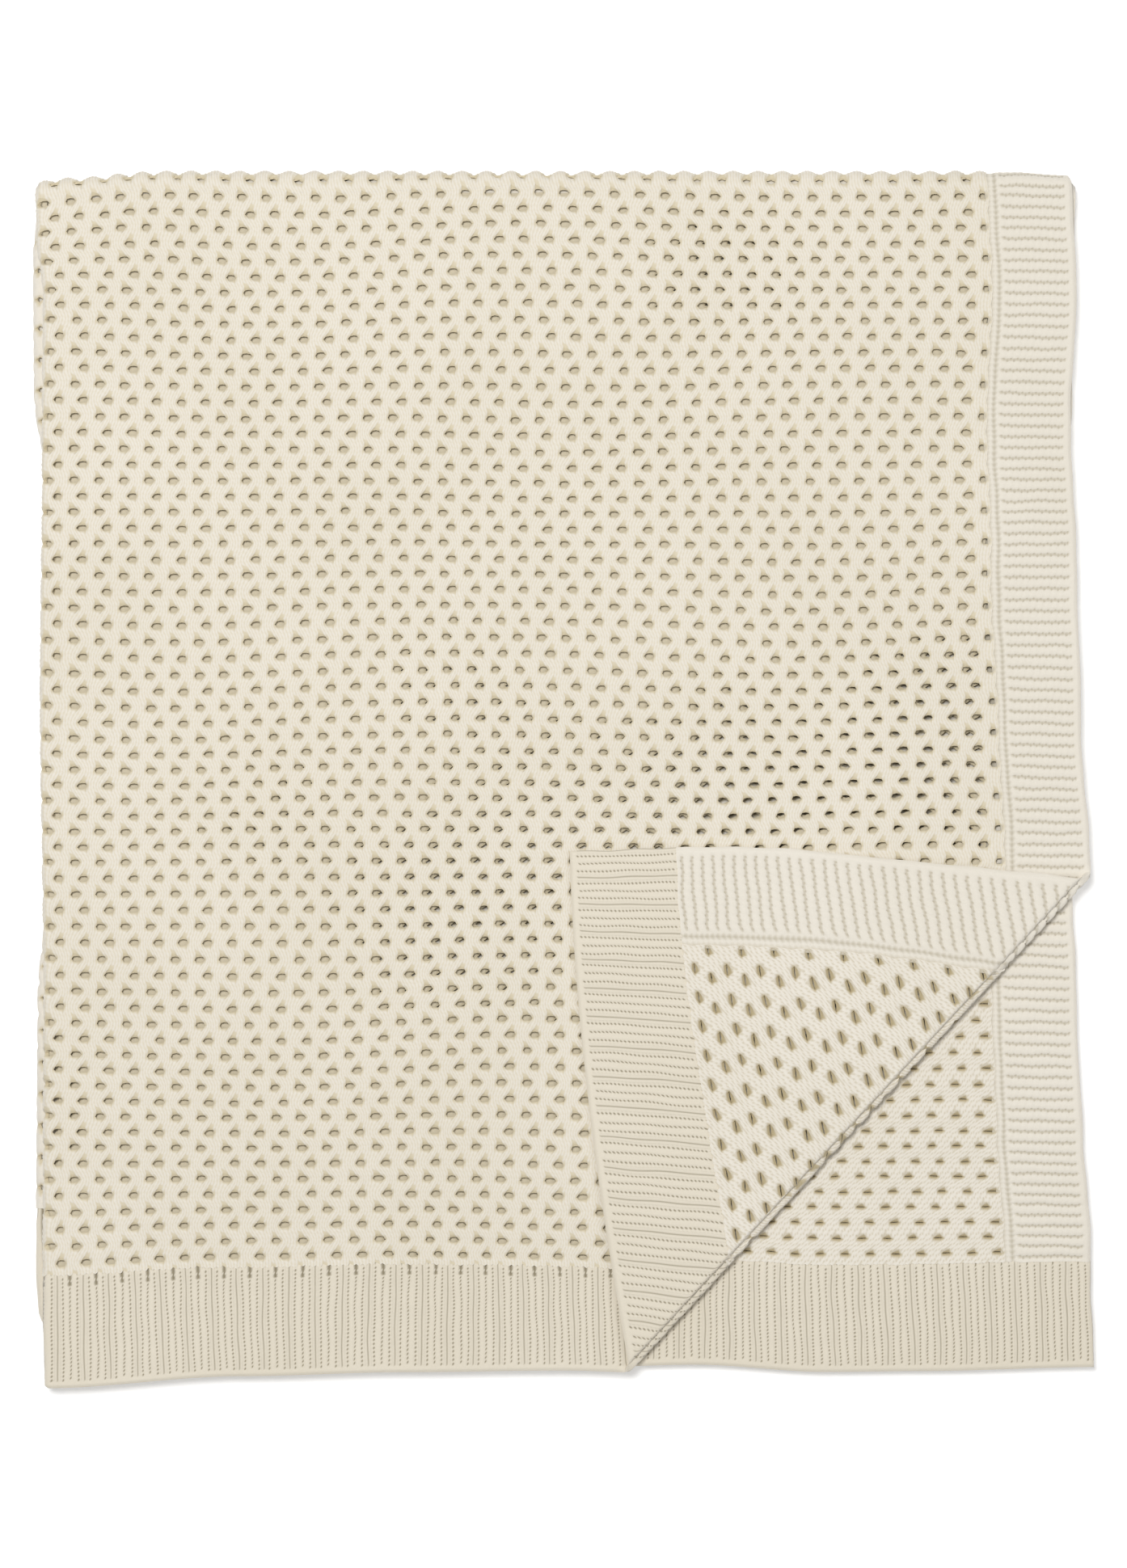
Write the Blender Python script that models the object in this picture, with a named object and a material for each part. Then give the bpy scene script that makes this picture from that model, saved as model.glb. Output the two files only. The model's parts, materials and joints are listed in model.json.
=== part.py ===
"""A knitted throw blanket folded in quarters, with one corner of its top layer turned back.

The throw is one knitted cloth. It is folded in half side to side, which makes the left folds,
and then top to bottom, which makes the top fold, so four layers lie on each other. Each layer
has three knitted zones: an openwork field, a garter stitch side border and a ribbed hem.

Metres, +Z up, +X towards the side borders, +Y towards the top fold. The origin is at the
middle of the footprint, on the surface that the throw lies on.
"""

import math

import bpy
from mathutils import Matrix, Vector

# The folded throw
FOLDED_WIDTH = 0.650  # upper half, from its left fold to its side border's edge
FOLDED_HEIGHT = 0.752  # upper half, from the top fold to the edge of its rib hem
CLOTH_THICKNESS = 0.0047
CLEARANCE = 0.0003  # between two solids that touch

# How the lower half lies under the upper half
LOWER_HEM_SETBACK = 0.036  # its rib hem ends this much further up
LOWER_FOLD_PEEK = 0.005  # its left fold shows this much beyond the upper one

# The knitted zones
SIDE_BORDER_WIDTH = 0.051
RIB_HEM_HEIGHT = 0.069

# The turned back corner
FOLD_END_UP_SIDE = 0.314  # from the hem's edge, up the side border, to the fold's end
FOLD_END_ALONG_HEM = 0.292  # from the side border's edge, along the hem, to the other end
CORNER_DRAW = Vector((-0.0105, 0.0390))  # the knit stretches: the corner is drawn this far
CORNER_BORDER_WIDTH = 0.058  # the side border, stretched on the turned back corner
CORNER_HEM_HEIGHT = 0.068

ARC_STEPS = 12

PITCH = CLOTH_THICKNESS + CLEARANCE  # from one layer to the next
HALF_THICKNESS = 2 * PITCH - CLEARANCE  # two layers that lie on each other
TOP_FOLD_RADIUS = 2 * PITCH - CLEARANCE / 2
TOP_FOLD_Z = TOP_FOLD_RADIUS

FOOTPRINT_WIDTH = FOLDED_WIDTH + LOWER_FOLD_PEEK
RIGHT = FOOTPRINT_WIDTH / 2
UPPER_LEFT = RIGHT - FOLDED_WIDTH
LOWER_LEFT = -FOOTPRINT_WIDTH / 2
TOP = FOLDED_HEIGHT / 2
UPPER_HEM_EDGE = -FOLDED_HEIGHT / 2
LOWER_HEM_EDGE = UPPER_HEM_EDGE + LOWER_HEM_SETBACK
TOP_FOLD_Y = TOP - TOP_FOLD_RADIUS
LAYERS_END = TOP_FOLD_Y - CLEARANCE  # where the flat layers stop below the top fold
LEFT_FOLD_RADIUS = HALF_THICKNESS / 2
CORNER_FOLD_RADIUS = PITCH - CLEARANCE / 2

BOTTOM_LAYER, THIRD_LAYER, SECOND_LAYER, TOP_LAYER, CORNER_LAYER = range(5)

FOLD_UPPER_END = Vector((RIGHT, UPPER_HEM_EDGE + FOLD_END_UP_SIDE))
FOLD_LOWER_END = Vector((RIGHT - FOLD_END_ALONG_HEM, UPPER_HEM_EDGE))
CORNER_FOLD_Z = CORNER_LAYER * PITCH - CLEARANCE / 2

SIDE_COLOUR = (0.77, 0.73, 0.63)
HEM_COLOUR = (0.76, 0.72, 0.62)
FIELD_COLOUR = (0.80, 0.76, 0.66)
FOLD_COLOUR = (0.78, 0.74, 0.64)


def empty_scene():
    for thing in list(bpy.data.objects):
        bpy.data.objects.remove(thing, do_unlink=True)


def new_collection(name):
    collection = bpy.data.collections.new(name)
    bpy.context.scene.collection.children.link(collection)
    return collection


def cotton(name, colour):
    material = bpy.data.materials.new(name)
    material.use_nodes = True
    shader = material.node_tree.nodes["Principled BSDF"]
    shader.inputs["Base Color"].default_value = (*colour, 1.0)
    shader.inputs["Roughness"].default_value = 0.9
    shader.inputs["Metallic"].default_value = 0.0
    return material


def extruded(name, outline, depth, collection, colour):
    """A solid with a flat outline in its own XY plane, centred on that plane."""
    curve = bpy.data.curves.new(name, "CURVE")
    curve.dimensions = "2D"
    curve.fill_mode = "BOTH"
    curve.extrude = depth / 2
    spline = curve.splines.new("POLY")
    spline.points.add(len(outline) - 1)
    for point, corner in zip(spline.points, outline):
        point.co = (corner[0], corner[1], 0.0, 1.0)
    spline.use_cyclic_u = True
    solid = bpy.data.objects.new(name, curve)
    curve.materials.append(cotton(name, colour))
    collection.objects.link(solid)
    return solid


def put(solid, matrix, axis=None):
    """Place a solid in the world, and hang it on the empty that it turns about."""
    if axis:
        solid.parent = axis
        solid.matrix_parent_inverse = axis.matrix_world.inverted()
    solid.matrix_world = matrix


def rectangle(left, right, bottom, top):
    return [Vector(p) for p in ((left, bottom), (right, bottom), (right, top), (left, top))]


def kept_side(outline, point, towards):
    """The part of a convex outline that lies past a line, on the side that towards points to."""
    kept = []
    for here, after in zip(outline, outline[1:] + outline[:1]):
        depth_here = (here - point).dot(towards)
        depth_after = (after - point).dot(towards)
        if depth_here >= 0:
            kept.append(here)
        if (depth_here >= 0) != (depth_after >= 0):
            kept.append(here.lerp(after, depth_here / (depth_here - depth_after)))
    return kept


def inward(start, end, inside):
    """The unit normal of a line that points to the side that a point lies on."""
    along = (end - start).normalized()
    across = Vector((-along.y, along.x))
    return across if (inside - start).dot(across) > 0 else -across


def layer_zones(left, right, hem_edge):
    """The flat outlines of one layer's three zones."""
    hem_top = hem_edge + RIB_HEM_HEIGHT
    border_left = right - SIDE_BORDER_WIDTH
    gap = CLEARANCE / 2
    return {
        "openwork": rectangle(left, border_left - gap, hem_top + gap, LAYERS_END),
        "side_border": rectangle(border_left + gap, right, hem_top + gap, LAYERS_END),
        "rib_hem": rectangle(left, right, hem_edge, hem_top - gap),
    }


ZONE_COLOURS = {"openwork": FIELD_COLOUR, "side_border": SIDE_COLOUR, "rib_hem": HEM_COLOUR}


def add_layer(name, level, zones, collection, axis=None):
    middle = level * PITCH + CLOTH_THICKNESS / 2
    for zone, outline in zones.items():
        colour = ZONE_COLOURS[zone]
        solid = extruded(f"{name}_{zone}", outline, CLOTH_THICKNESS, collection, colour)
        put(solid, Matrix.Translation((0, 0, middle)), axis)


def wrap_outline(outer, inner):
    """A half ring, open towards -X, with its centre at the origin."""
    angles = [-math.pi / 2 + math.pi * step / ARC_STEPS for step in range(ARC_STEPS + 1)]
    outside = [(outer * math.cos(a), outer * math.sin(a)) for a in angles]
    inside = [(inner * math.cos(a), inner * math.sin(a)) for a in reversed(angles)]
    return outside + inside


def add_fold(name, radius, start, end, outward, collection, axis=None, inner=CLEARANCE / 2):
    """A half round wrap of cloth along a fold, from start to end, bulging outward."""
    along = (end - start).normalized()
    up = Vector((0, 0, 1))
    turn = Matrix((outward, up, along)).transposed().to_4x4()
    if turn.determinant() < 0:
        turn = Matrix((outward, up, -along)).transposed().to_4x4()
    length = (end - start).length
    solid = extruded(name, wrap_outline(radius, inner), length, collection, FOLD_COLOUR)
    put(solid, Matrix.Translation((start + end) / 2) @ turn, axis)


def add_axis(name, place, collection, parent=None):
    axis = bpy.data.objects.new(name, None)
    collection.objects.link(axis)
    if parent:
        axis.parent = parent
        axis.matrix_parent_inverse = parent.matrix_world.inverted()
    axis.matrix_world = Matrix.Translation(place)
    bpy.context.view_layer.update()
    return axis


def add_lower_half(collection):
    left = LOWER_LEFT + LEFT_FOLD_RADIUS + CLEARANCE
    right = RIGHT - LOWER_FOLD_PEEK
    zones = layer_zones(left, right, LOWER_HEM_EDGE)
    add_layer("bottom_layer", BOTTOM_LAYER, zones, collection)
    add_layer("third_layer", THIRD_LAYER, zones, collection)
    x = LOWER_LEFT + LEFT_FOLD_RADIUS
    z = LEFT_FOLD_RADIUS
    start, end = Vector((x, LOWER_HEM_EDGE, z)), Vector((x, LAYERS_END, z))
    add_fold("lower_left_fold", LEFT_FOLD_RADIUS, start, end, Vector((-1, 0, 0)), collection)


def add_top_folds(collection):
    """The cloth wraps round the top fold twice: the outer wrap lies round the inner one."""
    start = Vector((LOWER_LEFT, TOP_FOLD_Y, TOP_FOLD_Z))
    end = Vector((RIGHT, TOP_FOLD_Y, TOP_FOLD_Z))
    inner = TOP_FOLD_RADIUS - PITCH
    back = Vector((0, 1, 0))
    add_fold("top_fold_inner", inner, start, end, back, collection)
    add_fold(
        "top_fold_outer", TOP_FOLD_RADIUS, start, end, back, collection, inner=inner + CLEARANCE
    )


def add_upper_half(collection, top_axis):
    left = UPPER_LEFT + LEFT_FOLD_RADIUS + CLEARANCE
    zones = layer_zones(left, RIGHT, UPPER_HEM_EDGE)
    add_layer("second_layer", SECOND_LAYER, zones, collection, top_axis)

    inside = Vector((left, TOP))
    towards = inward(FOLD_UPPER_END, FOLD_LOWER_END, inside)
    edge = FOLD_UPPER_END + towards * (CORNER_FOLD_RADIUS + CLEARANCE)
    cut = {zone: kept_side(outline, edge, towards) for zone, outline in zones.items()}
    add_layer("top_layer", TOP_LAYER, cut, collection, top_axis)

    x = UPPER_LEFT + LEFT_FOLD_RADIUS
    z = SECOND_LAYER * PITCH + LEFT_FOLD_RADIUS
    start, end = Vector((x, UPPER_HEM_EDGE, z)), Vector((x, LAYERS_END, z))
    left_side = Vector((-1, 0, 0))
    add_fold("upper_left_fold", LEFT_FOLD_RADIUS, start, end, left_side, collection, top_axis)


def add_corner(collection, top_axis):
    """The corner is the mirror image of the cut away corner, drawn a little further over."""
    lower, upper = FOLD_LOWER_END, FOLD_UPPER_END
    panel_corner = Vector((RIGHT, UPPER_HEM_EDGE))
    over = inward(upper, lower, Vector((UPPER_LEFT, TOP)))
    tip = panel_corner - 2 * (panel_corner - upper).dot(over) * over + CORNER_DRAW

    triangle = kept_side([tip, lower, upper], upper + over * (CORNER_FOLD_RADIUS + CLEARANCE), over)
    gap = CLEARANCE / 2
    hem_in = inward(tip, lower, upper)
    hem_line = tip + hem_in * CORNER_HEM_HEIGHT
    side_in = inward(tip, upper, lower)
    side_line = tip + side_in * CORNER_BORDER_WIDTH
    rest = kept_side(triangle, hem_line + hem_in * gap, hem_in)
    zones = {
        "rib_hem": kept_side(triangle, hem_line - hem_in * gap, -hem_in),
        "side_border": kept_side(rest, side_line - side_in * gap, -side_in),
        "openwork": kept_side(rest, side_line + side_in * gap, side_in),
    }

    # the axis lies inside the roll, whose ends stop short of the blanket's edges
    along = (lower - upper).normalized() * CORNER_FOLD_RADIUS
    inset = over * CORNER_FOLD_RADIUS
    start = (upper + inset + along).to_3d()
    end = (lower + inset - along).to_3d()
    start.z = end.z = CORNER_FOLD_Z
    axis = add_axis("corner_fold_axis", (start + end) / 2, collection, top_axis)
    add_layer("corner", CORNER_LAYER, zones, collection, axis)
    outward = (-over).to_3d()
    add_fold("corner_fold", CORNER_FOLD_RADIUS, start, end, outward, collection, top_axis)


empty_scene()
throw = new_collection("folded_throw_blanket")
top_fold_axis = add_axis("top_fold_axis", (0, TOP_FOLD_Y, TOP_FOLD_Z), throw)
add_lower_half(throw)
add_top_folds(throw)
add_upper_half(throw, top_fold_axis)
add_corner(throw, top_fold_axis)
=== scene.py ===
import json
import math
import bpy
import numpy as np
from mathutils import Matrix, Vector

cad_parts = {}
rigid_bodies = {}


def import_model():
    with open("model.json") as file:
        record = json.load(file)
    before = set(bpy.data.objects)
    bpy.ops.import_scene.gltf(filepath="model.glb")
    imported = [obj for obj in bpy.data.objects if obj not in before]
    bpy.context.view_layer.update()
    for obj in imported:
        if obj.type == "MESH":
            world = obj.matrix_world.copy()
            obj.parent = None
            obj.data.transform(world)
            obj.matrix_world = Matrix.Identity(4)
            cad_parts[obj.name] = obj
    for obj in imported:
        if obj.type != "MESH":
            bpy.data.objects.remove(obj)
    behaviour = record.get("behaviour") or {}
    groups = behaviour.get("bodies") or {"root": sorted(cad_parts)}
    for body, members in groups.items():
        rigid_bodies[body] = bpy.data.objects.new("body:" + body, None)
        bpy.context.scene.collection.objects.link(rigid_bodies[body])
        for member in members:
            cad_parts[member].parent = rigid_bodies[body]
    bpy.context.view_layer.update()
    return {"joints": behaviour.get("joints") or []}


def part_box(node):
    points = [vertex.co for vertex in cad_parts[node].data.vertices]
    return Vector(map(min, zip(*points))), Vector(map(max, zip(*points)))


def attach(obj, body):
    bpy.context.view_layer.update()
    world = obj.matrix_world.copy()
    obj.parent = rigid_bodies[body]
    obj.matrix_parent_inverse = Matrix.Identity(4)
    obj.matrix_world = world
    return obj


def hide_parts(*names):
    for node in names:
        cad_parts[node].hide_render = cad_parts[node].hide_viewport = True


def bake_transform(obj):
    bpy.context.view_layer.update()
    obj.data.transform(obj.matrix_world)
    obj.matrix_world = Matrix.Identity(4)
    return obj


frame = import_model()


# ---------------------------------------------------------------------------------------
# The throw's cloth, and how it is folded
# One knitted cotton cloth, folded in half side to side and then top to bottom. Every piece
# below is knitted flat, with s across the cloth from the first fold, v along it from the
# upper hem and n out of its right side, and is then laid in its folds by fold_cloth.

def node_box(name):
    """The near lower left and far upper right corners of a CAD node's box."""
    low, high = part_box(name)
    return np.array(low), np.array(high)


bottom_low, bottom_high = node_box("bottom_layer_openwork")
third_low = node_box("third_layer_openwork")[0]
top_high = node_box("top_layer_openwork")[1]
upper_fold_low = node_box("upper_left_fold")[0]
lower_fold_low = node_box("lower_left_fold")[0]
second_border_low, second_border_high = node_box("second_layer_side_border")
wrap_low, wrap_high = node_box("top_fold_outer")

pitch = third_low[2] - bottom_low[2]
thickness = bottom_high[2] - bottom_low[2]
stack_height = top_high[2]
side_radius = pitch / 2
top_radius = pitch
side_arc = math.pi / 2 * side_radius
fold_y = wrap_low[1]
fold_z = (wrap_low[2] + wrap_high[2]) / 2
right_edge = second_border_high[0]
upper_hem_y = upper_fold_low[1]
lower_hem_y = lower_fold_low[1]
fold_centre_x = upper_fold_low[0] + thickness / 2 + side_radius
lower_shift = lower_fold_low[0] - upper_fold_low[0]
half_width = right_edge - fold_centre_x + side_arc
fold_start = fold_y - upper_hem_y
fold_length = math.pi * top_radius
fold_end = fold_start + fold_length
cloth_length = fold_end + fold_y - lower_hem_y

border_width = second_border_high[0] - second_border_low[0]
hem_height = second_border_low[1] - upper_hem_y

WALES_RUN_IN = 0.003  # the border's plain wales run this far into the openwork
knit_border = border_width + WALES_RUN_IN

EYELET_COLUMNS = 38
EYELET_ROWS = 34
LOWER_EYELET_ROWS = 32
FOLD_MARGIN = 0.0025  # the far fold's own row begins and ends this far from the bend
upper_end = fold_start - FOLD_MARGIN
lower_start = fold_end + FOLD_MARGIN
fold_row = lower_start - upper_end
eyelet_pitch = (half_width - knit_border) / (EYELET_COLUMNS + 0.5)
eyelet_repeat = (upper_end - hem_height) / EYELET_ROWS
lower_repeat = (cloth_length - hem_height - lower_start) / LOWER_EYELET_ROWS


def ease(t):
    """0 up to t = 0, 1 from t = 1, and smooth in between."""
    t = np.clip(t, 0.0, 1.0)
    return t * t * (3 - 2 * t)


def along_edge(places, shifts, at):
    """How far an edge strays from straight: shifts at places, eased between them."""
    places, shifts = np.array(places), np.array(shifts)
    step = np.clip(np.searchsorted(places, at) - 1, 0, len(places) - 2)
    t = ease((at - places[step]) / (places[step + 1] - places[step]))
    return shifts[step] + (shifts[step + 1] - shifts[step]) * t


# The edges of a cloth that was folded by hand, in metres: places along each edge, which are
# y on the left and right edges and x on the others, then how far the edge strays there.
UPPER_LEFT = ([-0.378, -0.33, -0.12, 0.04, 0.20, 0.30, 0.34, 0.38],
              [0.0, -0.0012, -0.0008, -0.0030, -0.0018, -0.0010, -0.0050, -0.0060])
LOWER_LEFT = ([-0.34, -0.31, -0.14, -0.07, 0.18, 0.24, 0.32, 0.38],
              [0.0, -0.0018, -0.0008, 0.0045, 0.0045, -0.0030, -0.0035, -0.0010])
TOP_RIGHT = ([-0.06, 0.03, 0.13, 0.21, 0.30, 0.38],
             [0.0, -0.0055, -0.0100, -0.0125, -0.0080, -0.0115])
SECOND_RIGHT = ([-0.376, -0.30, -0.22, -0.14, -0.05, 0.13, 0.38],
                [0.0030, 0.0, -0.0045, -0.0080, -0.0125, -0.0115, -0.0095])
TOP_HEM = ([-0.3225, -0.20, -0.10, 0.0, 0.06, 0.33],
           [-0.0040, 0.0035, 0.0060, 0.0070, 0.0055, 0.0045])
SECOND_HEM = ([-0.3225, 0.0, 0.08, 0.16, 0.22, 0.33],
              [0.0030, 0.0080, 0.0100, 0.0055, 0.0060, 0.0085])
TOP_EDGE = ([-0.33, -0.31, -0.25, 0.28, 0.315, 0.33],
            [-0.0065, -0.0042, 0.0, 0.0, -0.0020, -0.0060])


def waves(s, v, seed, count=7, longest=0.42, shortest=0.14):
    """A gentle, even wandering of the knit, between about -1 and 1."""
    rng = np.random.default_rng(seed)
    total = np.zeros_like(s)
    for _ in range(count):
        length = rng.uniform(shortest, longest)
        angle, phase = rng.uniform(0, 2 * math.pi, 2)
        across = s * math.cos(angle) + v * math.sin(angle)
        total += np.sin(2 * math.pi * across / length + phase)
    return total / math.sqrt(count)


corner_joint = next(j for j in frame["joints"] if j["name"] == "corner_flap")
corner_axis = np.array(corner_joint["axis"][:2])
corner_out = np.array((corner_axis[1], -corner_axis[0]))
CORNER_RADIUS = 0.0040  # of the roll where the corner turns back
corner_start = np.array(corner_joint["pos_m"][:2]) - corner_out * (CORNER_RADIUS - side_radius)
corner_roll = math.pi * CORNER_RADIUS
CORNER_SETTLES = 0.12  # this far from the roll, the corner lies down on the top layer
CORNER_SPREAD = 0.0095  # how far the corner's middle is drawn on past its straight place
corner_hem_low, corner_hem_high = node_box("corner_rib_hem")
corner_tip = np.array((corner_hem_low[0], corner_hem_high[1]))


def past_corner_fold(x, y):
    """How far a point of the flat top layer lies beyond the line where its corner turns up."""
    return (x - corner_start[0]) * corner_out[0] + (y - corner_start[1]) * corner_out[1]


def turn_back_corner(x, y, z, n, draw):
    """Points of the flat top layer with its corner rolled over, and its tip drawn by draw."""
    beyond = past_corner_fold(x, y)
    angle = np.clip(beyond / CORNER_RADIUS, 0, math.pi)
    over = np.clip(beyond - corner_roll, 0, None)
    out = CORNER_RADIUS * np.sin(angle) - over + n * np.sin(angle)
    out = np.where(beyond > 0, out, beyond)
    height = CORNER_RADIUS * (1 - np.cos(angle)) + n * (np.cos(angle) - 1)
    height -= (2 * CORNER_RADIUS - pitch) * ease(over / CORNER_SETTLES)
    drawn = over / corner_reach
    moved = out - beyond - CORNER_SPREAD * 4 * drawn * (1 - drawn)
    x = x + moved * corner_out[0] + draw[0] * drawn
    y = y + moved * corner_out[1] + draw[1] * drawn
    return x, y, z + np.where(beyond > 0, height, 0.0)


flat_corner = np.array((right_edge, upper_hem_y + TOP_HEM[1][-1]))
corner_reach = past_corner_fold(*flat_corner) - corner_roll
corner_lands = turn_back_corner(*[np.array([c]) for c in (*flat_corner, 0.0, 0.0)], (0, 0))
corner_draw = corner_tip - np.array([corner_lands[0][0], corner_lands[1][0]])


SWAY = 0.0015
SWAY_CHANGES = 0.012  # it leans the other way past the left fold, and changes over this width
SWAY_FADES = 0.009  # it dies out this near the borders and the hems


def sway(s, v):
    """How far the openwork's wales lean to one side at v; the borders hold them straight."""
    turn = np.where(v < upper_end, (v - hem_height) / eyelet_repeat, (v - upper_end) / fold_row)
    turn = np.where(v > lower_start, (v - lower_start) / lower_repeat, turn)
    inside = np.minimum(half_width - knit_border - np.abs(s),
                        np.minimum(v - hem_height, cloth_length - hem_height - v))
    side = np.clip(s / SWAY_CHANGES, -1, 1)
    return -SWAY * side * np.cos(2 * math.pi * (turn - 1 / 3)) * ease(inside / SWAY_FADES)


DRIFT_ACROSS, DRIFT_ALONG, STITCH_DRIFT = 0.0011, 0.0016, 0.00030
STITCH_WAVES = (12, 0.030, 0.011)
THICKNESS_WAVES = (12, 0.024, 0.008)
DRIFT_FADES = 0.03  # the drift along the cloth dies out this near a hem
LOWER_RIGHT_INSET = 0.007  # the lower half's right edge lies this far in from the upper's
HEM_REACH, FAR_EDGE_REACH = 0.16, 0.09  # how far in an edge's own straying reaches
SCALLOP = 0.0010  # the far edge's small bumps, one for each wale between eyelets
LEAST_RISE, RISE_WAVES, MOST_RISE = 0.0003, 0.00035, 0.0007


def fold_cloth(points):
    """Points of the flat cloth, as (s, v, n), laid in the throw's two folds."""
    s, v, n = points.T
    s = s + sway(s, v)
    s = s + DRIFT_ACROSS * waves(s, v, 11) + STITCH_DRIFT * waves(s, v, 13, *STITCH_WAVES)
    n = n * (1 + 0.05 * waves(s, v, 14, *THICKNESS_WAVES))
    v_waved = v + DRIFT_ALONG * waves(s, v, 12) + STITCH_DRIFT * waves(s, v, 15, *STITCH_WAVES)
    inside = np.minimum(v, cloth_length - v)
    v = v + (v_waved - v) * ease(inside / DRIFT_FADES)

    turn = np.clip(s / side_radius, -math.pi / 2, math.pi / 2)
    flat = np.clip(np.abs(s) - side_arc, 0, None)
    x = fold_centre_x - (side_radius + n) * np.cos(turn) + flat
    level = (side_radius + n) * np.sin(turn)

    top_turn = np.clip((v - fold_start) / top_radius, 0, math.pi)
    y = fold_y + (top_radius + level) * np.sin(top_turn)
    y -= np.clip(fold_start - v, 0, None) + np.clip(v - fold_end, 0, None)
    z = fold_z + (top_radius + level) * np.cos(top_turn)

    lower = ease((v - fold_start) / (fold_length * 3))
    share = np.clip((np.abs(s) - side_arc) / (half_width - side_arc), 0, 1)
    left = along_edge(*UPPER_LEFT, y) * (1 - lower) + along_edge(*LOWER_LEFT, y) * lower
    left += lower_shift * lower
    right = np.where(s > 0, along_edge(*TOP_RIGHT, y), along_edge(*SECOND_RIGHT, y))
    right = right * (1 - lower) + (lower_shift - LOWER_RIGHT_INSET) * lower
    near_hem = ease((upper_hem_y + HEM_REACH - y) / HEM_REACH) * (1 - lower)
    hem = np.where(s > 0, along_edge(*TOP_HEM, x), along_edge(*SECOND_HEM, x))
    x = x + left * (1 - share) + right * share
    scallop = SCALLOP * np.cos(2 * math.pi * (s / eyelet_pitch - 0.25))
    scallop = scallop * (half_width - s > border_width)
    far_edge = ease((y - fold_y + FAR_EDGE_REACH) / FAR_EDGE_REACH)
    y = y + hem * near_hem + along_edge(*TOP_EDGE, x) * far_edge
    y = y + scallop * ease((y - fold_y + 0.004) / 0.010)

    top_layer = (s > 0) & (v < fold_start)
    bent = turn_back_corner(x, y, z, n, corner_draw)
    x, y, z = (np.where(top_layer, b, c) for b, c in zip(bent, (x, y, z)))

    rise = LEAST_RISE + RISE_WAVES * waves(x, y, 21, longest=0.30, shortest=0.09)
    z = z + np.clip(rise, 0, MOST_RISE) * z / stack_height
    return np.stack((x, y, z), axis=1)


# ---------------------------------------------------------------------------------------
# The yarn and the knitting
# Soft, matt cream cotton. A repeat of each stitch pattern is shaped once, right side and
# wrong side, and a Geometry Nodes tree knits it over its part of the cloth.

def cotton(name, crest, valley_shade):
    """Cream cotton that is paler on its crests, with spun fibres too fine for the mesh. Its
    valley colour is painted shade, laid on where the crest attribute is low.
    """
    material = bpy.data.materials.new(name)
    material.use_nodes = True
    nodes, links = material.node_tree.nodes, material.node_tree.links
    shader = nodes["Principled BSDF"]
    place = nodes.new("ShaderNodeTexCoord")

    def noise(scale, detail, roughness):
        node = nodes.new("ShaderNodeTexNoise")
        node.inputs["Scale"].default_value = scale
        node.inputs["Detail"].default_value = detail
        node.inputs["Roughness"].default_value = roughness
        links.new(place.outputs["Object"], node.inputs["Vector"])
        return node

    # Painted shade: the crest attribute mixes from the valley colour, painted shade for the
    # hollows and eyelets, up to the crest colour, the cotton's own.
    depth = nodes.new("ShaderNodeAttribute")
    depth.attribute_name = "crest"
    shade = nodes.new("ShaderNodeValToRGB")
    shade.color_ramp.elements[0].position = 0.15
    shade.color_ramp.elements[0].color = (*valley_shade, 1)
    shade.color_ramp.elements[1].position = 0.80
    shade.color_ramp.elements[1].color = (*crest, 1)
    links.new(depth.outputs["Fac"], shade.inputs["Fac"])

    dye = noise(9.0, 2.0, 0.5)
    fibre = noise(900.0, 3.0, 0.6)
    tone = nodes.new("ShaderNodeMix")
    tone.data_type = "RGBA"
    tone.blend_type = "MULTIPLY"
    tone.inputs["Factor"].default_value = 1.0
    tint = nodes.new("ShaderNodeValToRGB")
    tint.color_ramp.elements[0].position = 0.35
    tint.color_ramp.elements[0].color = (0.955, 0.950, 0.930, 1)
    tint.color_ramp.elements[1].position = 0.65
    tint.color_ramp.elements[1].color = (1.0, 1.0, 1.0, 1)
    mixed = nodes.new("ShaderNodeMath")
    mixed.operation = "ADD"
    halves = nodes.new("ShaderNodeMath")
    halves.operation = "MULTIPLY"
    halves.inputs[1].default_value = 0.5
    links.new(dye.outputs["Fac"], mixed.inputs[0])
    links.new(fibre.outputs["Fac"], mixed.inputs[1])
    links.new(mixed.outputs[0], halves.inputs[0])
    links.new(halves.outputs[0], tint.inputs["Fac"])
    links.new(shade.outputs["Color"], tone.inputs["A"])
    links.new(tint.outputs["Color"], tone.inputs["B"])
    links.new(tone.outputs["Result"], shader.inputs["Base Color"])

    strand = noise(1500.0, 4.0, 0.7)
    bump = nodes.new("ShaderNodeBump")
    bump.inputs["Strength"].default_value = 0.45
    bump.inputs["Distance"].default_value = 0.0005
    links.new(strand.outputs["Fac"], bump.inputs["Height"])
    links.new(bump.outputs["Normal"], shader.inputs["Normal"])
    shader.inputs["Roughness"].default_value = 0.92
    shader.inputs["Specular IOR Level"].default_value = 0.25
    shader.inputs["Sheen Weight"].default_value = 0.25
    shader.inputs["Sheen Roughness"].default_value = 0.5
    return material


half_cloth = thickness / 2


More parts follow.
